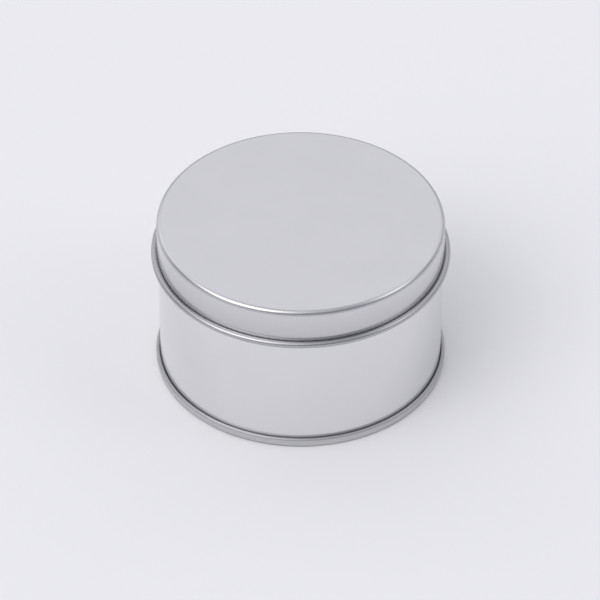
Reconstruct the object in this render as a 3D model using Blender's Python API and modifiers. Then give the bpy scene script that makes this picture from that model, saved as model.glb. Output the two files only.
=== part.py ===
"""Round slip-lid tin in plain tinplate, 75 mm across the lid's skirt and 45 mm high.

The tin is three pieces of thin sheet. The lid is one pressing whose lower edge is rolled outward into a
curl. The body wall is a strip rolled round and locked to itself along a side seam at the back; its top edge
is rolled inward and its lower edge is turned out and up into a hook. The base is a recessed disc whose edge
wraps that hook in a double seam, and the tin stands on the seam.

Units are metres and +Z is up. The origin is the centre of the circle that the tin stands on.
"""

import math

import bmesh
import bpy

# Whole tin
TIN_HEIGHT = 0.0450  # from the floor to the lid's top
SHEET = 0.00025  # thickness of the tinplate
FLATS_ROUND = 70  # flats round each turned piece; one of them faces straight back

# Lid
LID_DIAMETER = 0.0750  # outside of the skirt
LID_DEPTH = 0.0110  # from the lid's top to the underside of its curl
LID_CORNER_RADIUS = 0.0012  # outside, where the top turns down into the skirt
LID_CURL_DIAMETER = 0.0018  # outside of the rolled edge
LID_CURL_MOUTH = 0.0001  # from the curl's end to the skirt

# Fits between the pieces
SLIP_CLEARANCE = 0.0001  # lid skirt to body wall, all round
SEAT_CLEARANCE = 0.0001  # lid to the wall's rim
SEAM_CLEARANCE = 0.0001  # between the layers of a seam

# Body wall
RIM_CURL_DIAMETER = 0.0015  # outside of the rolled top edge
RIM_CURL_MOUTH = 0.0001  # from the curl's end to the wall
SIDE_SEAM_HALF_WIDTH = 0.0007  # from the middle of the folds to where they start to turn
SIDE_SEAM_TIP = 0.0002  # how far the hooked edges stop short of the turns they lie in
SIDE_SEAM_END_GAP = 0.0004  # from the ends of the side seam to the rim curl and the base
SIDE_SEAM_INSET = 0.00002  # the seam's sheet lies this far inside the wall's faces where they join
SIDE_SEAM_OVERLAP = 0.0003  # how far the seam's sheet runs into the wall

# Base
SEAM_HEIGHT = 0.0025  # of the double seam that the tin stands on
FOOT_CORNER_RADIUS = 0.0005  # outside, along both edges of the foot
PANEL_RECESS = 0.0028  # from the floor to the underside of the panel's outer ring
PANEL_CORNER_RADIUS = 0.0006  # outside, where the panel turns down
PANEL_STEP_RISE = 0.0004  # the panel's middle stands this much higher
PANEL_STEP_RADIUS = 0.0300  # outer edge of that step
PANEL_STEP_WIDTH = 0.0008  # the step's slope, measured along the radius

# Flats along each bend, so that bends of one size look alike
CORNER_FLATS = 3
CURL_QUARTER_FLATS = 3
CURL_END_FLATS = 4
HOOK_FLATS = 4

MERGE_DISTANCE = 0.00001  # closes the turned pieces on their axis

# Sizes that follow from the ones above. A mid radius is measured to the middle of the sheet.
HALF_SHEET = SHEET / 2
SEAM_PITCH = SHEET + SEAM_CLEARANCE
SKIRT_MID = LID_DIAMETER / 2 - HALF_SHEET
WALL_MID = SKIRT_MID - SHEET - SLIP_CLEARANCE
CHUCK_MID = WALL_MID - SEAM_PITCH
COVER_HOOK_MID = WALL_MID + SEAM_PITCH
BODY_HOOK_MID = COVER_HOOK_MID + SEAM_PITCH
SEAM_WALL_MID = BODY_HOOK_MID + SEAM_PITCH
RIM_HEIGHT = TIN_HEIGHT - SHEET - SEAT_CLEARANCE
WALL_HOOK_CENTRE = SHEET + SEAM_CLEARANCE + HALF_SHEET + SEAM_PITCH
COVER_HOOK_CENTRE = SEAM_HEIGHT - HALF_SHEET - SEAM_PITCH
PANEL_MID = PANEL_RECESS + HALF_SHEET
PANEL_MIDDLE_MID = PANEL_MID + PANEL_STEP_RISE

# Places across the side seam, from the middle of the wall's flat. The seam sits to one side by half of what it
# has more on the other, its drop and its overlap, so that all of it stays on that flat.
SIDE_SEAM_LAYERS = 4
SIDE_SEAM_MIDDLE = -(SEAM_PITCH + SIDE_SEAM_OVERLAP) / 2
SIDE_SEAM_LEFT = SIDE_SEAM_MIDDLE - SIDE_SEAM_HALF_WIDTH
SIDE_SEAM_RIGHT = SIDE_SEAM_MIDDLE + SIDE_SEAM_HALF_WIDTH
SIDE_SEAM_DROP = SIDE_SEAM_RIGHT + 2 * SEAM_PITCH

QUARTER = math.pi / 2
HALF_TURN = math.pi
FULL_TURN = 2 * math.pi

# Finish of the bare tinplate
LID_COLOUR = (0.62, 0.62, 0.63, 1.0)
LID_ROUGHNESS = 0.34
WALL_COLOUR = (0.60, 0.60, 0.61, 1.0)
WALL_ROUGHNESS = 0.32
BASE_COLOUR = (0.56, 0.56, 0.57, 1.0)
BASE_ROUGHNESS = 0.38


def clear_scene():
    for thing in list(bpy.data.objects):
        bpy.data.objects.remove(thing)


def new_collection(name):
    collection = bpy.data.collections.new(name)
    bpy.context.scene.collection.children.link(collection)
    return collection


def new_empty(name, collection, height):
    """An empty on the tin's axis, which carries a piece or a group of pieces."""
    empty = bpy.data.objects.new(name, None)
    empty.location.z = height
    collection.objects.link(empty)
    return empty


def satin_metal(name, colour, roughness):
    material = bpy.data.materials.new(name)
    material.use_nodes = True
    shader = material.node_tree.nodes["Principled BSDF"]
    shader.inputs["Base Color"].default_value = colour
    shader.inputs["Roughness"].default_value = roughness
    shader.inputs["Metallic"].default_value = 1.0
    return material


def arc(centre, radius, start, end, flats):
    """Points along a bend, both ends included, as (across, up) pairs. Angles run anticlockwise from +X."""
    across, up = centre
    angles = [start + (end - start) * step / flats for step in range(flats + 1)]
    return [(across + radius * math.cos(a), up + radius * math.sin(a)) for a in angles]


def line_mesh(name, points):
    """A mesh that holds only the chain of edges through these points."""
    mesh = bpy.data.meshes.new(name)
    chain = [(index, index + 1) for index in range(len(points) - 1)]
    mesh.from_pydata(points, chain, [])
    return mesh


def give_thickness(piece, thickness):
    """Makes a surface a sheet, with the surface in the middle of it."""
    shell = piece.modifiers.new("sheet", "SOLIDIFY")
    shell.thickness = thickness
    shell.offset = 0
    shell.use_even_offset = True
    shell.use_quality_normals = True


def turned_sheet(name, profile, collection, parent, material):
    """A piece of sheet with a round plan. The profile is the middle of the sheet, as (radius, height) pairs."""
    mesh = line_mesh(name, [(radius, 0, height) for radius, height in profile])
    mesh.materials.append(material)
    piece = bpy.data.objects.new(name, mesh)
    piece.parent = parent
    collection.objects.link(piece)
    turn = piece.modifiers.new("turn", "SCREW")
    turn.axis = "Z"
    turn.angle = FULL_TURN
    turn.steps = FLATS_ROUND
    turn.render_steps = FLATS_ROUND
    turn.use_smooth_shade = True
    turn.use_merge_vertices = True
    turn.merge_threshold = MERGE_DISTANCE
    give_thickness(piece, SHEET)
    return piece


def folded_strip(name, outline, low, high, thickness, collection):
    """An upright strip of sheet that follows an outline seen from above, kept as a helper."""
    mesh = line_mesh(name, [(across, along, low) for across, along in outline])
    strip = bmesh.new()
    strip.from_mesh(mesh)
    raised = bmesh.ops.extrude_edge_only(strip, edges=strip.edges[:])
    corners = [part for part in raised["geom"] if isinstance(part, bmesh.types.BMVert)]
    bmesh.ops.translate(strip, verts=corners, vec=(0, 0, high - low))
    bmesh.ops.recalc_face_normals(strip, faces=strip.faces)
    strip.to_mesh(mesh)
    strip.free()
    helper = bpy.data.objects.new(name, mesh)
    make_helper(helper, collection)
    give_thickness(helper, thickness)
    return helper


def box_cutter(name, corner_low, corner_high, collection):
    """A block between two corners, kept as a helper."""
    block = bmesh.new()
    bmesh.ops.create_cube(block, size=1)
    spans = [high - low for low, high in zip(corner_low, corner_high)]
    middle = [(low + high) / 2 for low, high in zip(corner_low, corner_high)]
    bmesh.ops.scale(block, verts=block.verts, vec=spans)
    bmesh.ops.translate(block, verts=block.verts, vec=middle)
    mesh = bpy.data.meshes.new(name)
    block.to_mesh(mesh)
    block.free()
    helper = bpy.data.objects.new(name, mesh)
    make_helper(helper, collection)
    return helper


def make_helper(helper, collection):
    helper.hide_render = True
    helper.display_type = "WIRE"
    collection.objects.link(helper)


def combine(piece, helper, operation):
    step = piece.modifiers.new(helper.name, "BOOLEAN")
    step.operation = operation
    step.solver = "EXACT"
    step.object = helper


def curl_end_angle(roll_radius, roll_across, stop_across):
    """The angle at a curl's centre, from +X, where its outside is as far from the tin's axis as stop_across."""
    return math.acos((stop_across - roll_across) / roll_radius)


def lid_profile():
    """From the middle of the top, down the skirt and round the curl. Heights are from the skirt's seat."""
    corner_mid = LID_CORNER_RADIUS - HALF_SHEET
    top_mid = HALF_SHEET
    corner_centre = (SKIRT_MID - corner_mid, top_mid - corner_mid)
    roll_radius = LID_CURL_DIAMETER / 2
    roll_mid = roll_radius - HALF_SHEET
    roll_centre = (SKIRT_MID + roll_mid, SHEET - LID_DEPTH + roll_radius)
    skirt_outside = SKIRT_MID + HALF_SHEET
    last = curl_end_angle(roll_radius, roll_centre[0], skirt_outside + LID_CURL_MOUTH)
    points = [(0, top_mid)]
    points += arc(corner_centre, corner_mid, QUARTER, 0, CORNER_FLATS)
    points += arc(roll_centre, roll_mid, HALF_TURN, HALF_TURN + QUARTER, CURL_QUARTER_FLATS)
    points += arc(roll_centre, roll_mid, HALF_TURN + QUARTER, FULL_TURN, CURL_QUARTER_FLATS)[1:]
    points += arc(roll_centre, roll_mid, 0, last, CURL_END_FLATS)[1:]
    return points


def wall_profile():
    """From the end of the rim's curl, over the rim, down the wall and round into the hook in the base seam."""
    roll_radius = RIM_CURL_DIAMETER / 2
    roll_mid = roll_radius - HALF_SHEET
    roll_centre = (WALL_MID - roll_mid, RIM_HEIGHT - roll_radius)
    wall_inside = WALL_MID - HALF_SHEET
    last = curl_end_angle(roll_radius, roll_centre[0], wall_inside - RIM_CURL_MOUTH)
    hook_centre = (COVER_HOOK_MID, WALL_HOOK_CENTRE)
    hook_tip = COVER_HOOK_CENTRE - SEAM_CLEARANCE
    points = arc(roll_centre, roll_mid, FULL_TURN - last, HALF_TURN, CURL_END_FLATS)
    points += arc(roll_centre, roll_mid, HALF_TURN, QUARTER, CURL_QUARTER_FLATS)[1:]
    points += arc(roll_centre, roll_mid, QUARTER, 0, CURL_QUARTER_FLATS)[1:]
    points += arc(hook_centre, SEAM_PITCH, HALF_TURN, FULL_TURN, HOOK_FLATS)
    points += [(BODY_HOOK_MID, hook_tip)]
    return points


def base_profile():
    """From the middle of the panel, down into the foot, up the outside and over into the hook."""
    corner_mid = PANEL_CORNER_RADIUS - HALF_SHEET
    corner_centre = (CHUCK_MID - corner_mid, PANEL_MID - corner_mid)
    foot_mid = FOOT_CORNER_RADIUS - HALF_SHEET
    foot_inner = (CHUCK_MID + foot_mid, FOOT_CORNER_RADIUS)
    foot_outer = (SEAM_WALL_MID - foot_mid, FOOT_CORNER_RADIUS)
    hook_centre = (BODY_HOOK_MID, COVER_HOOK_CENTRE)
    hook_tip = WALL_HOOK_CENTRE + SEAM_CLEARANCE
    points = [(0, PANEL_MIDDLE_MID)]
    points += [(PANEL_STEP_RADIUS - PANEL_STEP_WIDTH, PANEL_MIDDLE_MID), (PANEL_STEP_RADIUS, PANEL_MID)]
    points += arc(corner_centre, corner_mid, QUARTER, 0, CORNER_FLATS)
    points += arc(foot_inner, foot_mid, HALF_TURN, HALF_TURN + QUARTER, CORNER_FLATS)
    points += arc(foot_outer, foot_mid, HALF_TURN + QUARTER, FULL_TURN, CORNER_FLATS)
    points += arc(hook_centre, SEAM_PITCH, 0, HALF_TURN, HOOK_FLATS)
    points += [(COVER_HOOK_MID, hook_tip)]
    return points


def side_seam_outlines(back):
    """The two hooked edges of the wall, seen from above. back is the distance of the wall's middle from the axis.

    One edge runs on along the wall and folds inward over the other. The other drops under both folds and
    turns back up between them. The layers lie one pitch apart, the wall's own first.
    """
    wall, second, third, innermost = [back - count * SEAM_PITCH for count in range(SIDE_SEAM_LAYERS)]
    over = [(SIDE_SEAM_MIDDLE - SIDE_SEAM_OVERLAP, wall)]
    over += arc((SIDE_SEAM_RIGHT, second), SEAM_PITCH, QUARTER, -QUARTER, HOOK_FLATS)
    over += [(SIDE_SEAM_LEFT + SIDE_SEAM_TIP, third)]
    under = [(SIDE_SEAM_DROP + SIDE_SEAM_OVERLAP, wall), (SIDE_SEAM_DROP, wall)]
    under += [(SIDE_SEAM_DROP, innermost)]
    under += arc((SIDE_SEAM_LEFT, third), SEAM_PITCH, 3 * QUARTER, QUARTER, HOOK_FLATS)
    under += [(SIDE_SEAM_RIGHT - SIDE_SEAM_TIP, second)]
    return over, under


def lock_side_seam(wall, cutters):
    """Opens the wall at the back and puts the two hooked edges there."""
    back = WALL_MID * math.cos(HALF_TURN / FLATS_ROUND)
    low = PANEL_MIDDLE_MID + HALF_SHEET + SIDE_SEAM_END_GAP
    high = RIM_HEIGHT - RIM_CURL_DIAMETER - SIDE_SEAM_END_GAP
    window_low = (SIDE_SEAM_MIDDLE, back - SHEET, low + SIDE_SEAM_OVERLAP)
    window_high = (SIDE_SEAM_DROP, back + SHEET, high - SIDE_SEAM_OVERLAP)
    combine(wall, box_cutter("side_seam_window", window_low, window_high, cutters), "DIFFERENCE")
    thickness = SHEET - 2 * SIDE_SEAM_INSET
    over, under = side_seam_outlines(back)
    combine(wall, folded_strip("side_seam_over", over, low, high, thickness, cutters), "UNION")
    combine(wall, folded_strip("side_seam_under", under, low, high, thickness, cutters), "UNION")


def make_lid(collection):
    """The lid hangs on an empty at the wall's rim, on the line along which it lifts."""
    lift = new_empty("lid_lift", collection, RIM_HEIGHT)
    finish = satin_metal("lid_tinplate", LID_COLOUR, LID_ROUGHNESS)
    lid = turned_sheet("lid", lid_profile(), collection, lift, finish)
    lid.location.z = SEAT_CLEARANCE
    return lid


def make_body_wall(collection, cutters, stand):
    finish = satin_metal("wall_tinplate", WALL_COLOUR, WALL_ROUGHNESS)
    wall = turned_sheet("body_wall", wall_profile(), collection, stand, finish)
    lock_side_seam(wall, cutters)
    return wall


def make_base(collection, stand):
    finish = satin_metal("base_tinplate", BASE_COLOUR, BASE_ROUGHNESS)
    return turned_sheet("base", base_profile(), collection, stand, finish)


def main():
    clear_scene()
    tin = new_collection("round_tin")
    cutters = new_collection("round_tin_cutters")
    stand = new_empty("tin_stand", tin, 0)
    make_base(tin, stand)
    make_body_wall(tin, cutters, stand)
    make_lid(tin)


if __name__ == "__main__":
    main()
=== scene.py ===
"""A plain tinplate tin with a slip lid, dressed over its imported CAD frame.

The lid, the body wall and the base are each one piece of thin sheet, modelled as the press and the seaming
tools leave them: a lid with its edge rolled outward, a wall strip locked to itself at the back, with its rim
rolled inward, and a recessed base that wraps the wall's hook in a double seam.

Lengths are metres and +Z is up. The tin stands on z = 0 about the Z axis, with its side seam facing +Y.
"""

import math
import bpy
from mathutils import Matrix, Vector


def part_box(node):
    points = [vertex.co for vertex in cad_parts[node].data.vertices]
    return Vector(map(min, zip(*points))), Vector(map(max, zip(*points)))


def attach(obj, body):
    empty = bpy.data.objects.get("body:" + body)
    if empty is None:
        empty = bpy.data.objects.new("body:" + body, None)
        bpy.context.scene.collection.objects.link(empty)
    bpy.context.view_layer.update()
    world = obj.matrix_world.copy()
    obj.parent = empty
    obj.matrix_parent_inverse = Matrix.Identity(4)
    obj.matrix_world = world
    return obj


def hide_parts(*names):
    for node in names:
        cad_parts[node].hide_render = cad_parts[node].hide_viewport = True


bl_info = {
    "name": "Round slip-lid tin",
    "version": (1, 0, 0),
    "blender": (4, 5, 0),
    "location": "3D View > Sidebar > Tin",
    "description": "Makes a plain tinplate tin with a slip lid, and the table and lights round it",
    "category": "Add Mesh",
}

import bpy
from bpy.props import FloatProperty, FloatVectorProperty, IntProperty, PointerProperty
from mathutils import Matrix, Vector

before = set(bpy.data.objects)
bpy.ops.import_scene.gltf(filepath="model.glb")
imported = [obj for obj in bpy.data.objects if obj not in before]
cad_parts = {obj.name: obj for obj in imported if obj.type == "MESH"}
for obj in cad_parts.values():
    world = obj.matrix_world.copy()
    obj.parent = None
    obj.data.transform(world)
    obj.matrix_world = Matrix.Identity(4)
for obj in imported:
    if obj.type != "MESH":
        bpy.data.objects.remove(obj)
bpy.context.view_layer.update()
LID_LOW, LID_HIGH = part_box("lid")

QUARTER = math.pi / 2
HALF_TURN = math.pi
FULL_TURN = 2 * math.pi

# What most sizes follow from, so that the defaults below agree with the frame
SHEET = 0.00025
GAP = 0.0001
LID_CURL = 0.0018
LID_SKIRT = 2 * (LID_HIGH.x - LID_CURL + SHEET)

# The strongest that a light can be set to
BRIGHTEST = 6.0


def length(name, description, default):
    return FloatProperty(
        name=name, description=description, default=default, min=0, unit="LENGTH", precision=5
    )


def share(name, description, default, highest=1.0):
    return FloatProperty(name=name, description=description, default=default, min=0, max=highest, precision=3)


def strength(name, description, default):
    return share(name, description, default, BRIGHTEST)


def turn(name, description, default):
    return FloatProperty(name=name, description=description, default=default, unit="ROTATION", precision=5)


def millimetres(name, description, default):
    return FloatProperty(name=name, description=description, default=default, min=1, unit="CAMERA")


def colour(name, description, default):
    return FloatVectorProperty(
        name=name, description=description, default=default, min=0, max=1, size=3, subtype="COLOR"
    )


class TinSheet(bpy.types.PropertyGroup):
    """What the three pieces of sheet have in common."""

    thickness: length("Sheet", "Thickness of the tinplate", SHEET)
    seam_gap: length("Seam gap", "Gap between the layers of a seam", GAP)
    slip_gap: length("Slip gap", "Gap between the lid's skirt and the wall, all round", GAP)
    seat_gap: length("Seat gap", "Gap between the lid and the wall's rim", GAP)
    curl_mouth: length("Curl mouth", "Gap between a rolled edge's end and the sheet it points at", GAP)
    columns: IntProperty(name="Columns", description="Faces round each piece", default=320, min=24, max=720)


class TinLid(bpy.types.PropertyGroup):
    """Sizes of the lid."""

    skirt_diameter: length("Skirt diameter", "Outside of the skirt", LID_SKIRT)
    top: length("Top", "Height of the lid's top above the table", LID_HIGH.z)
    depth: length("Depth", "From the top to the underside of the rolled edge", LID_HIGH.z - LID_LOW.z)
    corner_radius: length("Corner radius", "Outside, where the top turns down into the skirt", 0.0012)
    curl_diameter: length("Rolled edge", "Outside diameter of the rolled edge", LID_CURL)


class TinWall(bpy.types.PropertyGroup):
    """Sizes of the body wall."""

    rim_diameter: length("Rolled rim", "Outside diameter of the rim that is rolled inward", 0.0015)
    fold_half_width: length("Fold half width", "From the middle of the side seam to its turns", 0.0007)
    fold_tip: length("Fold tip", "How far the hooked edges stop short of the turns they lie in", 0.0002)
    drop_radius: length("Drop radius", "Middle of the bends where the wall drops under the folds", 0.0002)
    end_gap: length("End gap", "From the ends of the side seam to the rim and the base", 0.0007)


class TinBase(bpy.types.PropertyGroup):
    """Sizes of the base and its seam."""

    seam_height: length("Seam height", "Height of the double seam that the tin stands on", 0.0025)
    foot_radius: length("Foot radius", "Outside, along both edges of the foot", 0.0005)
    recess: length("Recess", "From the table to the underside of the panel's outer ring", 0.0028)
    corner_radius: length("Corner radius", "Outside, where the panel turns down", 0.0006)
    step_rise: length("Step rise", "How much higher the panel's middle stands", 0.0004)
    step_radius: length("Step radius", "Outer edge of that step", 0.0300)
    step_width: length("Step width", "The step's slope, measured along the radius", 0.0008)
    step_bend: length("Step bends", "Middle radius of the bends at both ends of the step", 2 * SHEET)


class TinFinish(bpy.types.PropertyGroup):
    """Look of the bare tinplate."""

    lid_colour: colour("Lid", "Colour of the lid's sheet", (0.70, 0.70, 0.71))
    wall_colour: colour("Wall", "Colour of the wall's sheet", (0.78, 0.78, 0.79))
    base_colour: colour("Base", "Colour of the base's sheet", (0.72, 0.72, 0.73))
    # Painted shade: the darker colour for rolled, bent and worked sheet, standing in for the shade and dark
    # reflections in curls and bends
    painted_shade_colour: colour("Worked", "Colour where the sheet is rolled or bent", (0.48, 0.48, 0.49))
    lid_roughness: share("Lid roughness", "Roughness of the lid's sheet", 0.19)
    wall_roughness: share("Wall roughness", "Roughness of the wall's sheet", 0.20)
    base_roughness: share("Base roughness", "Roughness of the base's sheet", 0.22)
    worked_roughness: share("Worked roughness", "Roughness where the lid and wall are rolled or bent", 0.27)
    seam_roughness: share("Seam roughness", "Roughness where the base is rolled or bent", 0.50)
    # Painted shade: darkens the lower side of the lid's corner, besides making it rougher
    corner_worked_and_shade: share("Lid corner", "How far pressing has worked the lower side of the lid's corner", 1.0)
    # Painted shade: darkens the flat outside of the base's seam, besides making it rougher
    seam_worked_and_shade: share("Seam", "How far seaming has worked the flat outside of the base's seam", 0.5)
    # Painted shade: darkens the skirt more and more towards its rolled edge, besides making it rougher
    skirt_worked_and_shade: share("Skirt", "How far pressing has worked the skirt, just above its rolled edge", 0.65)
    grain: share("Grain", "How far the rolling grain shows in colour and gloss", 0.03)
    cloud: share("Clouds", "How far the wide, faint patches show", 0.03)
    line_width: length("Line width", "Width of one line of the rolling grain", 0.00030)
    line_length: length("Line length", "Length of one line of the rolling grain", 0.0120)
    line_depth: length("Line depth", "Depth of the rolling grain", 0.0000002)
    cloud_width: length("Cloud width", "Width of one faint patch", 0.0140)


class TinStage(bpy.types.PropertyGroup):
    """The table, the lights and the camera."""

    table_colour: colour("Table", "Colour of the table", (0.89, 0.89, 0.895))
    table_roughness: share("Table roughness", "Roughness of the table's paper", 0.7)
    table_gloss: share("Table gloss", "How much light the table's paper mirrors", 0.2)
    table_size: length("Table size", "Side of the table", 12.0)
    fill: strength("Fill", "Even light from the whole room", 0.38)
    key: strength("Key", "Wide soft light at the upper front left", 2.7)
    left: strength("Left", "Soft light at the left", 1.2)
    low_left: strength("Low left", "Soft light at the lower left, towards the front", 1.3)
    front: strength("Front", "Soft light at the upper front, towards the right", 0.37)
    front_right: strength("Front right", "Soft light at the front right", 1.5)
    right: strength("Right", "Soft light at the upper right", 0.5)
    low_back_right: strength("Low back right", "Wide soft light low behind, at the right", 0.3)
    back_right: strength("Back right", "Wide soft light high behind, at the right", 0.5)
    back: strength("Back", "Bright wall behind, which the lid's top reflects", 0.47)
    back_left: strength("Back left", "Wide soft light high behind, at the left", 0.5)
    low_back_left: strength("Low back left", "Wide soft light low behind, at the left", 0.65)
    ceiling: strength("Ceiling", "Soft light straight above", 0.45)
    light_colour: colour("Light", "Colour of the soft lights", (1.0, 0.985, 0.99))
    fill_colour: colour("Fill colour", "Colour of the even light", (0.86, 0.89, 1.0))
    camera_back: length("Camera distance", "From the tin's axis to the camera, along the table", 0.917566)
    camera_height: length("Camera height", "Height of the camera above the table", 0.791020)
    camera_rise: turn("Camera tilt", "How far the camera is turned up from looking straight down", 0.870480)
    camera_lean: turn("Camera lean", "How far the camera leans to its side", 0.0026375)
    lens: millimetres("Lens", "Focal length in millimetres", 273.53)
    sensor: millimetres("Sensor", "Width of the sensor in millimetres", 36)
    shift: FloatProperty(name="Shift", description="Sideways shift, in sensor widths", default=-0.0010)


class TinSettings(bpy.types.PropertyGroup):
    """All the settings of the tin."""

    sheet: PointerProperty(type=TinSheet)
    lid: PointerProperty(type=TinLid)
    wall: PointerProperty(type=TinWall)
    base: PointerProperty(type=TinBase)
    finish: PointerProperty(type=TinFinish)
    stage: PointerProperty(type=TinStage)


# Bent sheet

# Turn between two points of a bend, the least turn that counts as a bend, and the least that looks sharp
BEND_STEP = math.radians(9)
BENT_ANGLE = math.radians(1)
SHARP_ANGLE = math.radians(38)

# How far the supports of a straight stand from its ends, and the shortest straight that has them
SUPPORT = 0.00006
SUPPORTED = 4 * SUPPORT

# Keeps the corners of a thick sheet short where its line turns back on itself
LEAST_MITRE = 0.2


def bend(centre, radius, start, end):
    """Points along a bend, both ends included, as (across, up) pairs. Angles run anticlockwise from +X."""
    across, up = centre
    steps = max(2, math.ceil(abs(end - start) / BEND_STEP))
    angles = [start + (end - start) * step / steps for step in range(steps + 1)]
    return [Vector((across + radius * math.cos(a), up + radius * math.sin(a))) for a in angles]


def with_supports(line):
    """The same line with a point close to each end of its long straights, so that these are shaded flat."""
    held = [Vector(line[0])]
    for start, end in zip(line, line[1:]):
        start, end = Vector(start), Vector(end)
        along = end - start
        if along.length > SUPPORTED:
            reach = along.normalized() * SUPPORT
            if start.x > SUPPORT:
                held.append(start + reach)
            held.append(end - reach)
        held.append(end)
    return held


def worked_and_shade_in_bends(point, bent):
    """How far the sheet is worked, and painted darker as shade, at a point of a line, where only the bends
    are worked.
    """
    return 1.0 if bent else 0.0


def worked_and_shade_marks(line, worked):
    """How far the tools have worked the sheet at each point of the line, and how far it is painted darker as
    shade.
    """
    turns = [(here - before).angle(after - here) for before, here, after in zip(line, line[1:], line[2:])]
    return [worked(point, angle > BENT_ANGLE) for point, angle in zip(line, [0.0, *turns, 0.0])]


def both_sides(line, thickness):
    """The two faces of a sheet whose middle is this line, as two lists of points."""
    left, right = [], []
    for index, point in enumerate(line):
        before = (point - line[index - 1]).normalized() if index else None
        after = (line[index + 1] - point).normalized() if index + 1 < len(line) else None
        first, last = before or after, after or before
        middle = (first + last).normalized()
        out = Vector((-middle.y, middle.x)) * (thickness / 2 / max(middle.dot(first), LEAST_MITRE))
        left.append(point + out)
        right.append(point - out)
    return left, right


def run_lengths(line):
    """Distance along the line to each of its points."""
    runs = [0.0]
    for start, end in zip(line, line[1:]):
        runs.append(runs[-1] + (end - start).length)
    return runs


class SheetMesh:
    """Collects the faces of a piece of sheet, with each corner's place on the sheet before it was bent."""

    def __init__(self):
        self.points, self.faces, self.places, self.marks = [], [], [], []

    def add_point(self, point, mark):
        self.points.append(point)
        self.marks.append(mark)
        return len(self.points) - 1

    def add_face(self, corners, places):
        self.faces.append(corners)
        self.places.extend(places)

    def to_object(self, name, material):
        mesh = bpy.data.meshes.new(name)
        mesh.from_pydata(self.points, [], self.faces)
        flat = mesh.uv_layers.new(name="flat_sheet")
        flat.data.foreach_set("uv", [value for place in self.places for value in place])
        # The worked mark: how far each point is worked, which makes it rougher and paints it darker as shade
        worked = mesh.attributes.new("worked", "FLOAT", "POINT")
        worked.data.foreach_set("value", self.marks)
        mesh.shade_smooth()
        mesh.set_sharp_from_angle(angle=SHARP_ANGLE)
        mesh.materials.append(material)
        mesh.validate()
        piece = bpy.data.objects.new(name, mesh)
        bpy.context.scene.collection.objects.link(piece)
        return piece


def round_angles(columns):
    """Where each column of faces starts, as angles round the Z axis from +Y."""
    return [FULL_TURN * column / columns for column in range(columns)]


def turn_sheet(made, line, thickness, angles, window=None, worked=worked_and_shade_in_bends):
    """Turns a sheet round the Z axis. The line is its middle, as (radius, height) pairs.

    The angles say where each column of faces starts. With a window, (first column, last column, low, high),
    the sheet is left out there and its cut edges are closed. worked says how far the tools have worked it,
    and how far it is painted darker as shade.
    """
    line = with_supports(line)
    marks = worked_and_shade_marks(line, worked)
    runs = run_lengths(line)
    sides = both_sides(line, thickness)
    if sides[0][0].x > SUPPORT and sides[0][-1].x > sides[1][-1].x:
        sides = sides[1], sides[0]
    count = len(angles)
    on_axis = line[0].x < SUPPORT

    def place(row, column):
        angle = angles[column] if column < count else FULL_TURN
        if on_axis:
            return runs[row] * math.sin(angle), runs[row] * math.cos(angle)
        return angle * line[-1].x, runs[row]

    rings = []
    for side in sides:
        rows = []
        for row, (radius, height) in enumerate(side):
            if on_axis and row == 0:
                rows.append([made.add_point((0, 0, height), marks[row])] * count)
                continue
            around = [(radius * math.sin(angle), radius * math.cos(angle), height) for angle in angles]
            rows.append([made.add_point(point, marks[row]) for point in around])
        rings.append(rows)

    def in_window(row, column):
        if window is None:
            return False
        first, last, low, high = window
        middle = (line[row].y + line[row + 1].y) / 2
        return first <= column < last and low < middle < high

    def quad(a, b, c, d, turned):
        corners = [a, b, c, d]
        ids = [rings[side][row][column % count] for side, row, column in corners]
        places = [place(row, column) for side, row, column in corners]
        if len(set(ids)) < 4:
            kept = [index for index, one in enumerate(ids) if one not in ids[:index]]
            ids, places = [ids[index] for index in kept], [places[index] for index in kept]
        if turned:
            ids, places = ids[::-1], places[::-1]
        made.add_face(ids, places)

    def cover_side(side, row, column):
        start, end = (side, row), (side, row + 1)
        quad((*start, column), (*start, column + 1), (*end, column + 1), (*end, column), turned=side == 0)

    def close_side(row, column, turned):
        quad((0, row, column), (1, row, column), (1, row + 1, column), (0, row + 1, column), turned)

    def close_edge(row, column, turned):
        quad((0, row, column), (0, row, column + 1), (1, row, column + 1), (1, row, column), turned)

    last_row = len(line) - 1
    for column in range(count):
        for row in range(last_row):
            if in_window(row, column):
                continue
            for side in (0, 1):
                cover_side(side, row, column)
            for step in (-1, 1):
                if in_window(row, (column + step) % count):
                    close_side(row, column + (step > 0), turned=step > 0)
                if 0 <= row + step < last_row and in_window(row + step, column):
                    close_edge(row + (step > 0), column, turned=step < 0)
        close_edge(last_row, column, turned=True)
        if not on_axis:
            close_edge(0, column, turned=False)


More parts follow.
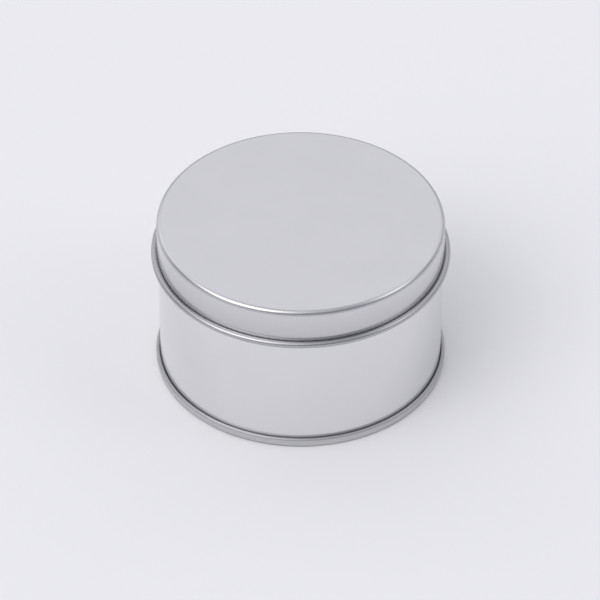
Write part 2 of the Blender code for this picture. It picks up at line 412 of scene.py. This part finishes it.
def stand_strip(made, outline, thickness, low, high, radius, across_start):
    """An upright strip of sheet that follows an outline seen from above, bent to the wall's own curve.

    The outline is (across, out) pairs: along the wall from the middle of the back, and out from the axis.
    """
    line = with_supports([Vector(point) for point in outline])
    marks = worked_and_shade_marks(line, worked_and_shade_in_bends)
    runs = run_lengths(line)
    heights = [low, low + SUPPORT, high - SUPPORT, high]
    grid = []
    for side in both_sides(line, thickness):
        steps = []
        for (across, out), mark in zip(side, marks):
            x, y = out * math.sin(across / radius), out * math.cos(across / radius)
            steps.append([made.add_point((x, y, height), mark) for height in heights])
        grid.append(steps)

    def quad(a, b, c, d, turned):
        ids = [grid[side][step][row] for side, step, row in (a, b, c, d)]
        places = [(across_start + runs[step], heights[row]) for side, step, row in (a, b, c, d)]
        made.add_face(ids[::-1] if turned else ids, places[::-1] if turned else places)

    last, top = len(line) - 1, len(heights) - 1
    for step in range(last):
        for row in range(top):
            for side in (0, 1):
                start, end = (side, step), (side, step + 1)
                quad((*start, row), (*end, row), (*end, row + 1), (*start, row + 1), turned=side == 0)
        quad((0, step, 0), (0, step + 1, 0), (1, step + 1, 0), (1, step, 0), turned=False)
        quad((0, step, top), (0, step + 1, top), (1, step + 1, top), (1, step, top), turned=True)
    for row in range(top):
        quad((0, 0, row), (1, 0, row), (1, 0, row + 1), (0, 0, row + 1), turned=False)
        quad((0, last, row), (1, last, row), (1, last, row + 1), (0, last, row + 1), turned=True)


# Lines of the three pieces


def mid_radii(settings):
    """Radii of the upright sheets, from the chuck wall of the base out to the seam's outside."""
    sheet, lid = settings.sheet, settings.lid
    pitch = sheet.thickness + sheet.seam_gap
    skirt = (lid.skirt_diameter - sheet.thickness) / 2
    wall = skirt - sheet.thickness - sheet.slip_gap
    return {
        "pitch": pitch,
        "skirt": skirt,
        "wall": wall,
        "chuck": wall - pitch,
        "cover_hook": wall + pitch,
        "body_hook": wall + 2 * pitch,
        "seam_wall": wall + 3 * pitch,
    }


def curl_stop(roll_radius, roll_across, stop_across):
    """The angle at which a rolled edge's outside is this far from the tin's axis."""
    return math.acos((stop_across - roll_across) / roll_radius)


def lid_line(settings):
    """From the middle of the top, down the skirt and round the rolled edge."""
    sheet, lid = settings.sheet, settings.lid
    half = sheet.thickness / 2
    skirt = mid_radii(settings)["skirt"]
    corner = lid.corner_radius - half
    top = lid.top - half
    roll = lid.curl_diameter / 2
    roll_centre = (skirt + roll - half, lid.top - lid.depth + roll)
    last = curl_stop(roll, roll_centre[0], skirt + half + sheet.curl_mouth)
    line = [Vector((0, top))]
    line += bend((skirt - corner, top - corner), corner, QUARTER, 0)
    line += bend(roll_centre, roll - half, HALF_TURN, FULL_TURN + last)
    return line


def wall_line(settings):
    """From the end of the rolled rim, over the rim, down the wall and round into the hook in the seam."""
    sheet, lid, wall = settings.sheet, settings.lid, settings.wall
    half = sheet.thickness / 2
    radii = mid_radii(settings)
    pitch = radii["pitch"]
    rim = lid.top - sheet.thickness - sheet.seat_gap
    roll = wall.rim_diameter / 2
    roll_centre = (radii["wall"] - roll + half, rim - roll)
    last = curl_stop(roll, roll_centre[0], radii["wall"] - half - sheet.curl_mouth)
    hook_low = sheet.thickness + sheet.seam_gap + half + pitch
    hook_high = settings.base.seam_height - half - pitch - sheet.seam_gap
    line = bend(roll_centre, roll - half, FULL_TURN - last, 0)
    line += bend((radii["cover_hook"], hook_low), pitch, HALF_TURN, FULL_TURN)
    line += [Vector((radii["body_hook"], hook_high))]
    return line


def base_line(settings):
    """From the middle of the panel, down into the foot, up the outside and over into the hook."""
    sheet, base = settings.sheet, settings.base
    half = sheet.thickness / 2
    radii = mid_radii(settings)
    pitch = radii["pitch"]
    panel = base.recess + half
    middle = panel + base.step_rise
    corner = base.corner_radius - half
    foot = base.foot_radius - half
    slope = math.atan2(base.step_rise, base.step_width)
    ease = base.step_bend
    lead = ease * math.tan(slope / 2)
    line = [Vector((0, middle))]
    line += bend((base.step_radius - base.step_width - lead, middle - ease), ease, QUARTER, QUARTER - slope)
    line += bend((base.step_radius + lead, panel + ease), ease, -QUARTER - slope, -QUARTER)
    line += bend((radii["chuck"] - corner, panel - corner), corner, QUARTER, 0)
    line += bend((radii["chuck"] + foot, base.foot_radius), foot, HALF_TURN, HALF_TURN + QUARTER)
    line += bend((radii["seam_wall"] - foot, base.foot_radius), foot, HALF_TURN + QUARTER, FULL_TURN)
    line += bend((radii["body_hook"], base.seam_height - half - pitch), pitch, 0, HALF_TURN)
    line += [Vector((radii["cover_hook"], sheet.thickness + sheet.seam_gap + half + pitch + sheet.seam_gap))]
    return line


def side_seam_outlines(settings):
    """The wall's two hooked edges seen from above, and where each leaves the wall.

    One edge folds inward over the other. The other drops under both folds and turns back up between them.
    """
    wall = settings.wall
    radii = mid_radii(settings)
    pitch, back = radii["pitch"], radii["wall"]
    second, third, innermost = back - pitch, back - 2 * pitch, back - 3 * pitch
    middle = -pitch
    left, right = middle - wall.fold_half_width, middle + wall.fold_half_width
    ease = wall.drop_radius
    drop = right + 2 * pitch
    over = [Vector((middle, back))]
    over += bend((right, second), pitch, QUARTER, -QUARTER)
    over += [Vector((left + wall.fold_tip, third))]
    under = bend((drop + ease, back - ease), ease, QUARTER, HALF_TURN)
    under += bend((drop - ease, innermost + ease), ease, 0, -QUARTER)
    under += bend((left, third), pitch, 3 * QUARTER, QUARTER)
    under += [Vector((right - wall.fold_tip, second))]
    return over, under


# Materials


def add_node(tree, kind, place, **values):
    node = tree.nodes.new(kind)
    node.location = place
    for name, value in values.items():
        setattr(node, name, value)
    return node


def set_inputs(node, values):
    for name, value in values.items():
        node.inputs[name].default_value = value
    return node


# Sockets of the shared node group, each with its kind
SHEET_INPUTS = (
    ("Place on sheet", "NodeSocketVector"),
    # Worked: how far the sheet is worked, making it rougher and painting it darker as shade
    ("Worked", "NodeSocketFloat"),
    ("Sheet colour", "NodeSocketColor"),
    ("Painted shade colour", "NodeSocketColor"),
    ("Sheet roughness", "NodeSocketFloat"),
    ("Worked roughness", "NodeSocketFloat"),
    ("Grain", "NodeSocketFloat"),
    ("Clouds", "NodeSocketFloat"),
    ("Lines per metre along", "NodeSocketFloat"),
    ("Lines per metre across", "NodeSocketFloat"),
    ("Clouds per metre", "NodeSocketFloat"),
)
SHEET_OUTPUTS = (
    ("Colour", "NodeSocketColor"),
    ("Roughness", "NodeSocketFloat"),
    ("Height", "NodeSocketFloat"),
)

# Middle of what the noise nodes give
NOISE_MIDDLE = 0.5


def tinplate_group():
    """The node group all three materials share: rolling grain, faint clouds, rougher bends with painted
    shade.
    """
    name = "rolled_tinplate"
    if name in bpy.data.node_groups:
        return bpy.data.node_groups[name]
    group = bpy.data.node_groups.new(name, "ShaderNodeTree")
    for sockets, direction in ((SHEET_INPUTS, "INPUT"), (SHEET_OUTPUTS, "OUTPUT")):
        for socket, kind in sockets:
            group.interface.new_socket(socket, in_out=direction, socket_type=kind)
    link = group.links.new
    source = add_node(group, "NodeGroupInput", (-1100, 0)).outputs
    result = add_node(group, "NodeGroupOutput", (900, 0)).inputs

    stretch = add_node(group, "ShaderNodeCombineXYZ", (-900, 260))
    link(source["Lines per metre along"], stretch.inputs["X"])
    link(source["Lines per metre across"], stretch.inputs["Y"])
    drawn = add_node(group, "ShaderNodeVectorMath", (-720, 260), operation="MULTIPLY")
    link(source["Place on sheet"], drawn.inputs[0])
    link(stretch.outputs["Vector"], drawn.inputs[1])
    lines = add_node(group, "ShaderNodeTexNoise", (-540, 300), noise_dimensions="2D")
    set_inputs(lines, {"Scale": 1.0, "Detail": 3.0, "Roughness": 0.6})
    link(drawn.outputs["Vector"], lines.inputs["Vector"])

    spread = add_node(group, "ShaderNodeVectorMath", (-720, 0), operation="SCALE")
    link(source["Place on sheet"], spread.inputs[0])
    link(source["Clouds per metre"], spread.inputs["Scale"])
    clouds = add_node(group, "ShaderNodeTexNoise", (-540, 0), noise_dimensions="2D")
    set_inputs(clouds, {"Scale": 1.0, "Detail": 2.0, "Roughness": 0.5, "Distortion": 0.4})
    link(spread.outputs["Vector"], clouds.inputs["Vector"])

    def swing(value, amount, place):
        """How far a noise value is from its middle, times the amount."""
        centred = add_node(group, "ShaderNodeMath", place, operation="SUBTRACT")
        link(value, centred.inputs[0])
        centred.inputs[1].default_value = NOISE_MIDDLE
        scaled = add_node(group, "ShaderNodeMath", (place[0] + 160, place[1]), operation="MULTIPLY")
        link(centred.outputs["Value"], scaled.inputs[0])
        link(amount, scaled.inputs[1])
        return scaled.outputs["Value"]

    grain = swing(lines.outputs["Fac"], source["Grain"], (-340, 300))
    patches = swing(clouds.outputs["Fac"], source["Clouds"], (-340, 0))
    both = add_node(group, "ShaderNodeMath", (0, 160), operation="ADD")
    link(grain, both.inputs[0])
    link(patches, both.inputs[1])

    # Painted shade: the sheet colour is mixed towards the darker colour where the worked mark is high
    shade = add_node(group, "ShaderNodeMix", (160, 400), data_type="RGBA")
    link(source["Worked"], shade.inputs["Factor"])
    link(source["Sheet colour"], shade.inputs["A"])
    link(source["Painted shade colour"], shade.inputs["B"])
    lift = add_node(group, "ShaderNodeMath", (160, 160), operation="ADD")
    link(both.outputs["Value"], lift.inputs[0])
    lift.inputs[1].default_value = 1.0
    toned = add_node(group, "ShaderNodeVectorMath", (400, 400), operation="SCALE")
    link(shade.outputs["Result"], toned.inputs[0])
    link(lift.outputs["Value"], toned.inputs["Scale"])
    link(toned.outputs["Vector"], result["Colour"])

    rough = add_node(group, "ShaderNodeMix", (160, -100), data_type="FLOAT")
    link(source["Worked"], rough.inputs["Factor"])
    link(source["Sheet roughness"], rough.inputs["A"])
    link(source["Worked roughness"], rough.inputs["B"])
    uneven = add_node(group, "ShaderNodeMath", (400, -100), operation="SUBTRACT")
    link(rough.outputs["Result"], uneven.inputs[0])
    link(both.outputs["Value"], uneven.inputs[1])
    link(uneven.outputs["Value"], result["Roughness"])
    link(lines.outputs["Fac"], result["Height"])
    return group


def tinplate(name, sheet_colour, roughness, finish):
    """Bare tinplate with the rolling grain lying along the flat sheet.

    The roughness is a pair of values: where the sheet is as rolled, and where the tools have worked it.
    """
    old = bpy.data.materials.get(name)
    if old:
        bpy.data.materials.remove(old)
    material = bpy.data.materials.new(name)
    material.use_nodes = True
    tree = material.node_tree
    link = tree.links.new
    shader = tree.nodes["Principled BSDF"]
    shader.inputs["Metallic"].default_value = 1.0
    place = add_node(tree, "ShaderNodeUVMap", (-900, 200), uv_map="flat_sheet")
    # The worked mark, which sets the rougher sheet and the painted shade
    mark = add_node(tree, "ShaderNodeAttribute", (-900, 0), attribute_name="worked")
    surface = add_node(tree, "ShaderNodeGroup", (-600, 200), node_tree=tinplate_group())
    set_inputs(surface, {
        "Sheet colour": (*sheet_colour, 1),
        # Painted shade: the darker colour for bends and worked sheet
        "Painted shade colour": (*finish.painted_shade_colour, 1),
        "Sheet roughness": roughness[0],
        "Worked roughness": roughness[1],
        "Grain": finish.grain,
        "Clouds": finish.cloud,
        "Lines per metre along": 1 / finish.line_length,
        "Lines per metre across": 1 / finish.line_width,
        "Clouds per metre": 1 / finish.cloud_width,
    })
    bump = add_node(tree, "ShaderNodeBump", (-300, -200))
    set_inputs(bump, {"Strength": 1.0, "Distance": finish.line_depth})
    link(place.outputs["UV"], surface.inputs["Place on sheet"])
    link(mark.outputs["Fac"], surface.inputs["Worked"])
    link(surface.outputs["Colour"], shader.inputs["Base Color"])
    link(surface.outputs["Roughness"], shader.inputs["Roughness"])
    link(surface.outputs["Height"], bump.inputs["Height"])
    link(bump.outputs["Normal"], shader.inputs["Normal"])
    return material


# Operators

# Columns of faces over and under the opening that the side seam closes
SEAM_COLUMNS = 4

# Nearest and furthest that the camera sees
CAMERA_REACH = 0.05, 30


def clear_old(name):
    old = bpy.data.objects.get(name)
    if old:
        bpy.data.objects.remove(old)


def seat(piece, body, node):
    """Hands the finished piece to its CAD body, in place of the plain node."""
    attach(piece, body)
    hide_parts(node)


class ROUND_TIN_OT_lid(bpy.types.Operator):
    """Press the lid, with its skirt and rolled edge"""

    bl_idname = "round_tin.lid"
    bl_label = "Lid"
    bl_options = {"REGISTER", "UNDO"}

    def execute(self, context):
        settings = context.scene.round_tin
        finish = settings.finish
        clear_old("lid_pressing")
        made = SheetMesh()
        sheet, lid = settings.sheet, settings.lid

        def worked(point, bent):
            """Rises down the corner, and down the skirt: rougher sheet and painted shade, darker towards the
            rolled edge.
            The rolled edge below them is fully worked, and painted darkest.
            """
            down = max(0.0, lid.top - point.y)
            if not bent:
                return finish.skirt_worked_and_shade * down / lid.depth
            if down > lid.depth / 2:
                return 1.0
            return finish.corner_worked_and_shade * down / lid.corner_radius

        turn_sheet(made, lid_line(settings), sheet.thickness, round_angles(sheet.columns), worked=worked)
        roughness = finish.lid_roughness, finish.worked_roughness
        satin = tinplate("lid_satin", finish.lid_colour, roughness, finish)
        seat(made.to_object("lid_pressing", satin), "lid", "lid")
        return {"FINISHED"}


class ROUND_TIN_OT_wall(bpy.types.Operator):
    """Roll the body wall, with its rim, its side seam and the hook in the base seam"""

    bl_idname = "round_tin.wall"
    bl_label = "Body wall"
    bl_options = {"REGISTER", "UNDO"}

    def execute(self, context):
        settings = context.scene.round_tin
        finish, sheet, wall, base = settings.finish, settings.sheet, settings.wall, settings.base
        clear_old("wall_sheet")
        radius = mid_radii(settings)["wall"]
        over, under = side_seam_outlines(settings)
        low = base.recess + base.step_rise + sheet.thickness + wall.end_gap
        high = settings.lid.top - sheet.thickness - sheet.seat_gap - wall.rim_diameter - wall.end_gap
        left, right = over[0].x / radius, under[0].x / radius
        angles = [left + (right - left) * column / SEAM_COLUMNS for column in range(SEAM_COLUMNS)]
        rest = FULL_TURN - (right - left)
        angles += [right + rest * column / sheet.columns for column in range(sheet.columns)]
        line = wall_line(settings)
        straight = max(range(len(line) - 1), key=lambda index: (line[index + 1] - line[index]).length)
        line[straight + 1:straight + 1] = [Vector((radius, high)), Vector((radius, low))]
        made = SheetMesh()
        turn_sheet(made, line, sheet.thickness, angles, window=(0, SEAM_COLUMNS, low, high))
        stand_strip(made, over, sheet.thickness, low, high, radius, over[0].x)
        stand_strip(made, under, sheet.thickness, low, high, radius, under[0].x)
        roughness = finish.wall_roughness, finish.worked_roughness
        satin = tinplate("wall_satin", finish.wall_colour, roughness, finish)
        seat(made.to_object("wall_sheet", satin), "body", "body_wall")
        return {"FINISHED"}


class ROUND_TIN_OT_base(bpy.types.Operator):
    """Press the base and wrap its edge round the wall's hook"""

    bl_idname = "round_tin.base"
    bl_label = "Base"
    bl_options = {"REGISTER", "UNDO"}

    def execute(self, context):
        settings = context.scene.round_tin
        finish = settings.finish
        clear_old("base_pressing")
        made = SheetMesh()
        sheet, rolled_from = settings.sheet, mid_radii(settings)["body_hook"]

        # Bends and the seam's flat outside are worked: rougher, and painted darker as shade
        def worked(point, bent):
            if bent:
                return 1.0
            return finish.seam_worked_and_shade if point.x >= rolled_from else 0.0

        turn_sheet(made, base_line(settings), sheet.thickness, round_angles(sheet.columns), worked=worked)
        roughness = finish.base_roughness, finish.seam_roughness
        satin = tinplate("base_satin", finish.base_colour, roughness, finish)
        seat(made.to_object("base_pressing", satin), "body", "base")
        return {"FINISHED"}


# The room's soft lights: the setting that gives each its strength, the way to it in degrees (round from the
# camera's side towards the right, and up), and how tightly it is gathered
ROOM_LIGHTS = (
    ("key", 315, 50, 14),
    ("left", 275, 45, 45),
    ("low_left", 300, 27, 45),
    ("front", 30, 57, 45),
    ("front_right", 80, 35, 30),
    ("right", 90, 57, 45),
    ("low_back_right", 135, 20, 14),
    ("back_right", 135, 50, 14),
    ("back", 180, 40, 14),
    ("back_left", 225, 50, 14),
    ("low_back_left", 225, 20, 14),
    ("ceiling", 0, 88, 45),
)


def studio_room(stage):
    """The room round the table: evenly lit, with wide soft lights that each fade from their middle."""
    world = bpy.data.worlds.new("studio_room")
    world.use_nodes = True
    tree = world.node_tree
    link = tree.links.new
    direction = add_node(tree, "ShaderNodeTexCoord", (-1300, 0))
    light = add_node(tree, "ShaderNodeValue", (-700, 200)).outputs["Value"]
    light.default_value = 0.0
    for step, (name, around, up, gathered) in enumerate(ROOM_LIGHTS):
        heading, rise = math.radians(around), math.radians(up)
        aim = (math.sin(heading) * math.cos(rise), -math.cos(heading) * math.cos(rise), math.sin(rise))
        near = add_node(tree, "ShaderNodeVectorMath", (-1100, -200 * step), operation="DOT_PRODUCT")
        near.label = name
        link(direction.outputs["Generated"], near.inputs[0])
        near.inputs[1].default_value = aim
        lit = add_node(tree, "ShaderNodeMath", (-900, -200 * step), operation="MAXIMUM")
        link(near.outputs["Value"], lit.inputs[0])
        lit.inputs[1].default_value = 0.0
        spread = add_node(tree, "ShaderNodeMath", (-700, -200 * step), operation="POWER")
        link(lit.outputs["Value"], spread.inputs[0])
        spread.inputs[1].default_value = gathered
        total = add_node(tree, "ShaderNodeMath", (-500, -200 * step), operation="MULTIPLY_ADD")
        link(spread.outputs["Value"], total.inputs[0])
        total.inputs[1].default_value = getattr(stage, name)
        link(light, total.inputs[2])
        light = total.outputs["Value"]
    tinted = add_node(tree, "ShaderNodeVectorMath", (-300, 0), operation="MULTIPLY_ADD")
    tinted.inputs[0].default_value = stage.light_colour
    link(light, tinted.inputs[1])
    tinted.inputs[2].default_value = [part * stage.fill for part in stage.fill_colour]
    link(tinted.outputs["Vector"], tree.nodes["Background"].inputs["Color"])
    bpy.context.scene.world = world


class ROUND_TIN_OT_stage(bpy.types.Operator):
    """Set out the pale table, the soft lights and the camera"""

    bl_idname = "round_tin.stage"
    bl_label = "Table, lights and camera"
    bl_options = {"REGISTER", "UNDO"}

    def execute(self, context):
        stage = context.scene.round_tin.stage
        clear_old("table")
        mesh = bpy.data.meshes.new("table")
        half = stage.table_size / 2
        corners = [(-half, -half, 0), (half, -half, 0), (half, half, 0), (-half, half, 0)]
        mesh.from_pydata(corners, [], [(0, 1, 2, 3)])
        table = bpy.data.objects.new("table", mesh)
        context.scene.collection.objects.link(table)
        paper = bpy.data.materials.new("table_paper")
        paper.use_nodes = True
        shader = paper.node_tree.nodes["Principled BSDF"]
        set_inputs(shader, {
            "Base Color": (*stage.table_colour, 1),
            "Roughness": stage.table_roughness,
            "Specular IOR Level": stage.table_gloss,
        })
        mesh.materials.append(paper)
        studio_room(stage)
        self.place_camera(context, stage)
        context.scene.view_settings.view_transform = "Standard"
        return {"FINISHED"}

    def place_camera(self, context, stage):
        clear_old("camera")
        camera = bpy.data.objects.new("camera", bpy.data.cameras.new("camera"))
        context.scene.collection.objects.link(camera)
        camera.data.sensor_width = stage.sensor
        camera.data.lens = stage.lens
        camera.data.shift_x = stage.shift
        camera.data.clip_start, camera.data.clip_end = CAMERA_REACH
        place = Matrix.Translation((0, -stage.camera_back, stage.camera_height))
        rise = Matrix.Rotation(stage.camera_rise, 4, "X")
        lean = Matrix.Rotation(stage.camera_lean, 4, "Z")
        camera.matrix_world = place @ rise @ lean
        context.scene.camera = camera


class ROUND_TIN_PT_panel(bpy.types.Panel):
    """Makes each piece of the tin from its settings"""

    bl_idname = "ROUND_TIN_PT_panel"
    bl_label = "Round tin"
    bl_space_type = "VIEW_3D"
    bl_region_type = "UI"
    bl_category = "Tin"

    def draw(self, context):
        settings = context.scene.round_tin
        for title, groups, operator in (
            ("Lid", (settings.sheet, settings.lid), "round_tin.lid"),
            ("Body wall", (settings.wall,), "round_tin.wall"),
            ("Base", (settings.base,), "round_tin.base"),
            ("Stage", (settings.stage,), "round_tin.stage"),
        ):
            box = self.layout.box()
            box.label(text=title)
            for group in groups:
                for name in group.__annotations__:
                    box.prop(group, name)
            box.operator(operator)
        box = self.layout.box()
        box.label(text="Finish")
        for name in settings.finish.__annotations__:
            box.prop(settings.finish, name)


CLASSES = (
    TinSheet,
    TinLid,
    TinWall,
    TinBase,
    TinFinish,
    TinStage,
    TinSettings,
    ROUND_TIN_OT_lid,
    ROUND_TIN_OT_wall,
    ROUND_TIN_OT_base,
    ROUND_TIN_OT_stage,
    ROUND_TIN_PT_panel,
)


def register():
    for one in CLASSES:
        bpy.utils.register_class(one)
    bpy.types.Scene.round_tin = PointerProperty(type=TinSettings)


def unregister():
    del bpy.types.Scene.round_tin
    for one in reversed(CLASSES):
        bpy.utils.unregister_class(one)


def main():
    register()
    bpy.ops.round_tin.base()
    bpy.ops.round_tin.wall()
    bpy.ops.round_tin.lid()
    bpy.ops.round_tin.stage()


if __name__ == "__main__":
    main()
